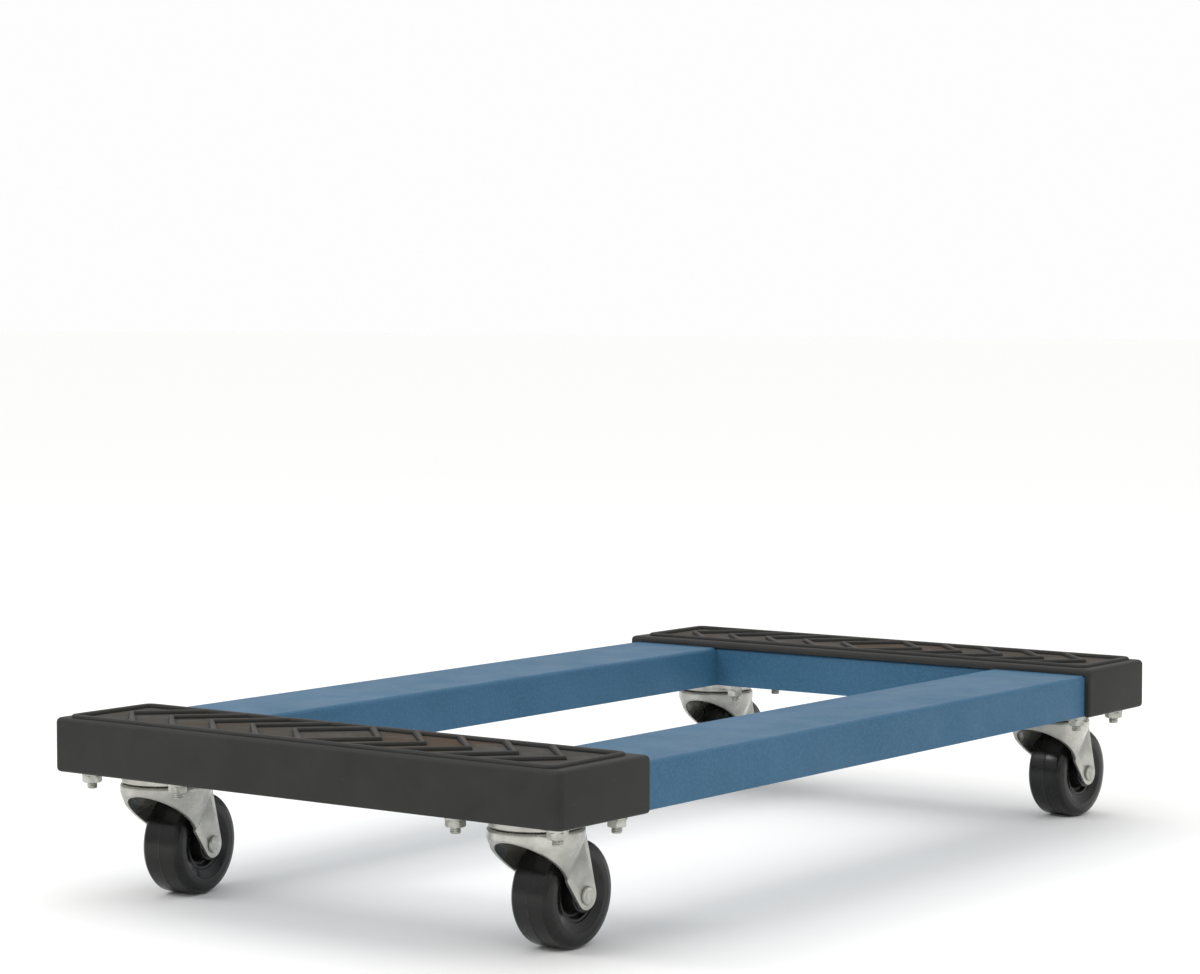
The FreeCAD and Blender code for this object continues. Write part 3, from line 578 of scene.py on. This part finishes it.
def rubber_cap(node, tree):
    """Moulded boot over one end of the deck."""
    low, high = (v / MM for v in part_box(node))
    outward = math.copysign(1, low.y + high.y)
    y_outer = high.y if outward > 0 else low.y
    y_mouth = low.y if outward > 0 else high.y
    top = high.z - RIB_HEIGHT
    shape = (high.x, y_outer, y_mouth, CAP_OUTER_CORNER, CAP_MOUTH_CORNER)

    # inset and level of each ring, round the edge at the foot and then at the top
    swings = [math.pi / 2 * step / CAP_EDGE_STEPS for step in range(CAP_EDGE_STEPS + 1)]
    levels = [(CAP_FOOT_EDGE * (1 - math.sin(swing)),
               low.z + CAP_FOOT_EDGE * (1 - math.cos(swing))) for swing in swings]
    levels += [(CAP_TOP_EDGE * (1 - math.cos(swing)),
                top - CAP_TOP_EDGE * (1 - math.sin(swing))) for swing in swings]
    rings = [cap_ring(inset, level, *shape) for inset, level in levels]

    rim_middle = y_outer - outward * (RIM_INSET + RIM_DEPTH / 2)
    half_depth = RIM_DEPTH / 2 - RIB_WIDTH / 2
    half_wide = RIM_HALF_WIDTH - RIB_WIDTH / 2
    plan = [(half_wide, rim_middle + outward * half_depth, RIM_CORNER),
            (half_wide, rim_middle - outward * half_depth, RIM_CORNER),
            (-half_wide, rim_middle - outward * half_depth, RIM_CORNER),
            (-half_wide, rim_middle + outward * half_depth, RIM_CORNER)]
    for level in (top, top - PANEL_SINK):
        rings.append([Vector((x, y, level)) for x, y in arc_corners(plan, CAP_CORNER_STEPS)])
    shell = finished(bridge(rings, capped=True), f"{node}_shell", "cap_rubber")

    # the hollow follows the frame and runs out through the mouth and the foot
    inner = high.x - CAP_WALL
    end = y_outer - outward * CAP_END_WALL
    past = y_mouth - outward * CAP_OVERRUN
    section = [(inner, end, CAP_INNER_CORNER), (inner, past, 0), (-inner, past, 0),
               (-inner, end, CAP_INNER_CORNER)]
    hollow = finished(bridge(
        [[Vector((x, y, z)) for x, y in arc_corners(section, 4)]
         for z in (low.z - CAP_OVERRUN, top - CAP_ROOF)], capped=True), f"{node}_core")

    use_tree(shell, tree, {
        "Hollow": hollow,
        "Rubber": FINISHES["cap_rubber"],
        "Rim width": (2 * RIM_HALF_WIDTH - RIB_WIDTH) * MM,
        "Rim depth": (RIM_DEPTH - RIB_WIDTH) * MM,
        "Rim corner": RIM_CORNER * MM,
        "Centre": (0.0, rim_middle * MM, top * MM),
        "Rib width": RIB_WIDTH * MM,
        "Rib height": RIB_HEIGHT * MM,
        "Rib round": RIB_ROUND * MM,
        "Tip": (CHEVRON_OUTERMOST - RIB_WIDTH / math.sqrt(2)) * MM,
        "Pitch": CHEVRON_PITCH * MM,
        "Count": CHEVRONS,
        "Reach": half_depth * MM,
    })
    cap = plain_mesh(shell, f"{node}_moulding", "cap_rubber")
    bpy.data.objects.remove(hollow)
    keep_on(cap, "deck", "cap_rubber", node)


# ---------------------------------------------------------------- wheels and axles

def wheel_pose(corner):
    """Centre of a wheel in millimetres and the direction of its axle, from the joint."""
    spin = next(j for j in frame["joints"] if j["name"] == f"{corner}_wheel_spin")
    low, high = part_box(f"{corner}_wheel")
    return (low + high) / 2 / MM, Vector(spin["axis"]).normalized()


def wheel(corner):
    """Hard rubber wheel: flat tread with a fine mould line, bevelled shoulders, dished side."""
    node = f"{corner}_wheel"
    centre, axis = wheel_pose(corner)
    low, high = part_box(node)
    radius = (high.z - low.z) / 2 / MM
    tread = radius - TREAD_DROP
    right = [
        *WHEEL_SIDE,
        (tread, TREAD_HALF, TREAD_ROUND),
        (tread, MOULD_LINE_FOOT, 0.2),
        (radius, MOULD_LINE_TOP, 0.1),
    ]
    left = [(r, -x, bend) for r, x, bend in reversed(right)]
    section = [tuple(p) for p in arc_corners(right + left, 5)]
    piece = finished(lathe(section, centre, axis, WHEEL_SEGMENTS), f"{node}_tyre", "wheel_rubber")
    keep_on(piece, node, "wheel_rubber", node)


def axle_rivet(corner):
    """Rivet through the fork: flat heads with rolled edges and a shallow ring from the press."""
    node = f"{corner}_axle_rivet"
    centre, axis = wheel_pose(corner)
    head = RIVET_HALF + RIVET_HEAD_HEIGHT
    right = [
        (0.0, head - RIVET_DISH_DEPTH, 0),
        (RIVET_DISH_RADIUS, head - RIVET_DISH_DEPTH, 0.6),
        (RIVET_DISH_EDGE, head, 0.5),
        (RIVET_HEAD_RADIUS - 0.3, head, 0.9),
        (RIVET_HEAD_RADIUS, RIVET_HALF + 0.15, 0.3),
        (RIVET_SHANK_RADIUS, RIVET_HALF + 0.05, 0),
    ]
    left = [(r, -x, bend) for r, x, bend in reversed(right)]
    section = [tuple(p) for p in arc_corners(right + left, 4, closed=False)]
    piece = finished(lathe(section, centre, axis, RIVET_SEGMENTS), f"{node}_heads", "zinc_hardware")
    keep_on(piece, f"{corner}_swivel", "zinc_hardware", node)


# ---------------------------------------------------------------- forks

def fork(corner):
    """Pressed fork with its cut edges rolled a little, as a sheared and tumbled blank has."""
    node = f"{corner}_fork"
    mesh = bmesh.new()
    mesh.from_mesh(frame["nodes"][node].data)
    bmesh.ops.remove_doubles(mesh, verts=mesh.verts, dist=WELD_GAP * MM)
    bmesh.ops.dissolve_degenerate(mesh, dist=FORK_SLIVER * MM, edges=mesh.edges)
    bmesh.ops.join_triangles(mesh, faces=mesh.faces,
                             angle_face_threshold=math.radians(FORK_FLAT_TURN),
                             angle_shape_threshold=math.radians(FORK_FLAT_SHAPE))
    data = bpy.data.meshes.new(f"{node}_blank")
    mesh.to_mesh(data)
    mesh.free()
    blank = placed(data, f"{node}_blank")
    edge = blank.modifiers.new("rolled_edge", "BEVEL")
    edge.width = FORK_EDGE * MM
    edge.segments = 3
    edge.limit_method = "ANGLE"
    edge.angle_limit = math.radians(FORK_EDGE_TURN)
    piece = plain_mesh(blank, f"{node}_pressing", "zinc_steel", 30)
    keep_on(piece, f"{corner}_swivel", "zinc_steel", node)


# ---------------------------------------------------------------- fasteners

def repeat_tree():
    """One finished fastener at every spot, each turned its own way."""
    tree, given, result = new_tree("at_each_spot", [
        ("Geometry", "Geometry"), ("Fastener", "Object"), ("Finish", "Material"), ("Seed", "Int")])
    piece = add(tree, "GeometryNodeObjectInfo", {"transform_space": "ORIGINAL"},
                {"Object": given["Fastener"]})
    turn = add(tree, "FunctionNodeRandomValue", {"data_type": "FLOAT_VECTOR"}, {
        "Min": (0.0, 0.0, 0.0), "Max": (0.0, 0.0, 2 * math.pi), "Seed": given["Seed"]})
    copies = add(tree, "GeometryNodeInstanceOnPoints", None, {
        "Points": given["Geometry"], "Instance": piece.outputs["Geometry"], "Rotation": turn})
    plain = add(tree, "GeometryNodeRealizeInstances", None, {"Geometry": copies})
    painted = add(tree, "GeometryNodeSetMaterial", None,
                  {"Geometry": plain, "Material": given["Finish"]})
    feed(result, {0: painted})
    return tree


def nut():
    """Hexagon nut, chamfered to a circle on both faces, its foot at zero, in millimetres."""
    face = NUT_FLATS / 2 * NUT_FACE_SHARE
    rings = []
    for step in range(NUT_STEPS):
        angle = 2 * math.pi * step / NUT_STEPS
        off_flat = (angle + math.pi / 6) % (math.pi / 3) - math.pi / 6
        reach = NUT_FLATS / 2 / math.cos(off_flat)
        slope = (reach - face) * math.tan(math.radians(NUT_CHAMFER))
        out = Vector((math.cos(angle), math.sin(angle), 0))
        up = Vector((0, 0, 1))
        rings.append([
            out * NUT_BORE + up * NUT_BORE_CHAMFER,
            out * NUT_BORE_MOUTH,
            out * face,
            out * reach + up * slope,
            out * reach + up * (NUT_HEIGHT - slope),
            out * face + up * NUT_HEIGHT,
            out * NUT_BORE_MOUTH + up * NUT_HEIGHT,
            out * NUT_BORE + up * (NUT_HEIGHT - NUT_BORE_CHAMFER),
        ])
    return finished(bridge(rings, join_ends=True), "nut_pattern", "zinc_hardware", 25)


def bolt(length):
    """Carriage bolt, tip at zero and pointing down: chamfered tip, rolled thread, domed head."""
    angles = [2 * math.pi * step / BOLT_STEPS for step in range(BOLT_STEPS)]
    rows = int(THREADED_LENGTH / THREAD_PITCH * THREAD_ROWS)
    rings = [[Vector((POLE_RADIUS * math.cos(a), POLE_RADIUS * math.sin(a), 0)) for a in angles]]
    for row in range(rows + 1):
        level = THREADED_LENGTH * row / rows
        fade = min(1.0, (THREADED_LENGTH - level) / THREAD_PITCH)
        ring = []
        for a in angles:
            phase = (level / THREAD_PITCH - a / (2 * math.pi)) % 1
            crest = 1 - abs(2 * phase - 1)
            radius = THREAD_RADIUS - THREAD_DEPTH * (1 - crest) * fade
            radius = min(radius, THREAD_RADIUS - BOLT_TIP_CHAMFER + level)
            ring.append(Vector((radius * math.cos(a), radius * math.sin(a), level)))
        rings.append(ring)
    rise = [(THREAD_RADIUS, length - BOLT_HEAD_HEIGHT)]
    for step in range(BOLT_HEAD_STEPS + 1):
        swing = math.pi / 2 * step / BOLT_HEAD_STEPS
        rise.append((max(BOLT_HEAD_RADIUS * math.cos(swing), POLE_RADIUS),
                     length - BOLT_HEAD_HEIGHT * (1 - math.sin(swing))))
    for radius, level in rise:
        rings.append([Vector((radius * math.cos(a), radius * math.sin(a), level))
                      for a in angles])
    return finished(bridge(rings, capped=True), "bolt_pattern", "zinc_hardware", 28)


def islands(node):
    """Middle of each separate solid of a CAD node, in the shared frame."""
    mesh = bmesh.new()
    mesh.from_mesh(frame["nodes"][node].data)
    bmesh.ops.remove_doubles(mesh, verts=mesh.verts, dist=WELD_GAP * MM)
    spots, seen = [], set()
    for vert in mesh.verts:
        if vert in seen:
            continue
        group, queue = [], [vert]
        seen.add(vert)
        while queue:
            here = queue.pop()
            group.append(here.co.copy())
            for edge in here.link_edges:
                other = edge.other_vert(here)
                if other not in seen:
                    seen.add(other)
                    queue.append(other)
        spots.append(Vector([(min(c) + max(c)) / 2 for c in zip(*group)]))
    mesh.free()
    return spots


def fasteners(node, pattern, level, tree, seed):
    """All of one kind of fastener, at the CAD node's own spots, as one plain mesh."""
    data = bpy.data.meshes.new(f"{node}_spots")
    data.from_pydata([(p.x, p.y, level) for p in islands(node)], [], [])
    spots = bpy.data.objects.new(f"{node}_spots", data)
    bpy.context.scene.collection.objects.link(spots)
    use_tree(spots, tree, {"Fastener": pattern, "Finish": FINISHES["zinc_hardware"], "Seed": seed})
    piece = plain_mesh(spots, f"{node}_set", "zinc_hardware", 28)
    bpy.data.objects.remove(pattern)
    keep_on(piece, "deck", "zinc_hardware", node)


# ---------------------------------------------------------------- stage

def stage():
    """Pale floor, white surroundings, soft boxes, and the camera low beside the front corner."""
    floor_mesh = bmesh.new()
    bmesh.ops.create_grid(floor_mesh, x_segments=1, y_segments=1, size=FLOOR_HALF)
    data = bpy.data.meshes.new("studio_floor")
    floor_mesh.to_mesh(data)
    floor_mesh.free()
    floor = bpy.data.objects.new("studio_floor", data)
    bpy.context.scene.collection.objects.link(floor)
    paint, _, shader, _ = start_material("matt_white_floor")
    feed(shader, {"Base Color": tint("#fbfbfa"), "Roughness": 0.9, "Specular IOR Level": 0.1})
    data.materials.append(paint)

    # lit from above more than from the sides; the camera sees it as bright as the far floor
    world = bpy.data.worlds.new("studio_white")
    bpy.context.scene.world = world
    world.use_nodes = True
    tree = world.node_tree
    seen = tree.nodes["Background"]
    feed(seen, {"Color": WHITE, "Strength": SEEN_LIGHT})
    height = add(tree, "ShaderNodeSeparateXYZ", None, {
        0: add(tree, "ShaderNodeTexCoord").outputs["Generated"]})
    strength = add(tree, "ShaderNodeMapRange", None, {
        "Value": height.outputs["Z"], "From Max": 0.9, "To Min": SIDE_LIGHT, "To Max": TOP_LIGHT})
    lit = add(tree, "ShaderNodeBackground", None, {"Color": WHITE, "Strength": strength})
    path = add(tree, "ShaderNodeLightPath")
    mix = add(tree, "ShaderNodeMixShader", None, {
        0: path.outputs["Is Camera Ray"], 1: lit, 2: seen})
    feed(tree.nodes["World Output"], {"Surface": mix})

    for name, place, size, power in SOFT_BOXES:
        lamp = bpy.data.lights.new(name, "AREA")
        lamp.shape = "SQUARE"
        lamp.size = size
        lamp.energy = power
        holder = bpy.data.objects.new(name, lamp)
        holder.location = place
        holder.rotation_euler = (LAMP_AIM - Vector(place)).to_track_quat("-Z", "Y").to_euler()
        bpy.context.scene.collection.objects.link(holder)

    view = bpy.data.cameras.new("camera")
    view.sensor_width = 36.0
    view.lens = CAMERA_LENS
    camera = bpy.data.objects.new("camera", view)
    camera.location = CAMERA_PLACE
    camera.rotation_euler = [math.radians(a) for a in CAMERA_TURN]
    bpy.context.scene.collection.objects.link(camera)
    bpy.context.scene.camera = camera
    bpy.context.scene.view_settings.view_transform = "Standard"


def paint_cad_nodes():
    """Every CAD node takes the finish of its own slot."""
    slots = {part["node"]: part["material_slot"] for part in frame["record"]["subparts"]}
    for name, node in frame["nodes"].items():
        for place in node.material_slots:
            place.material = FINISHES[slots[name]]


paint_cad_nodes()
ribs = cap_ribs_tree()
for end in ("front", "rear"):
    rubber_cap(f"{end}_rubber_cap", ribs)
for corner in CORNERS:
    wheel(corner)
    axle_rivet(corner)
    fork(corner)
spots_tree = repeat_tree()
nut_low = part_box("caster_nuts")[0].z
fasteners("caster_nuts", nut(), nut_low, spots_tree, NUT_SEED)
bolt_low, bolt_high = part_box("caster_bolts")
bolt_length = (bolt_high.z - bolt_low.z) / MM
fasteners("caster_bolts", bolt(bolt_length), bolt_low.z, spots_tree, BOLT_SEED)
stage()
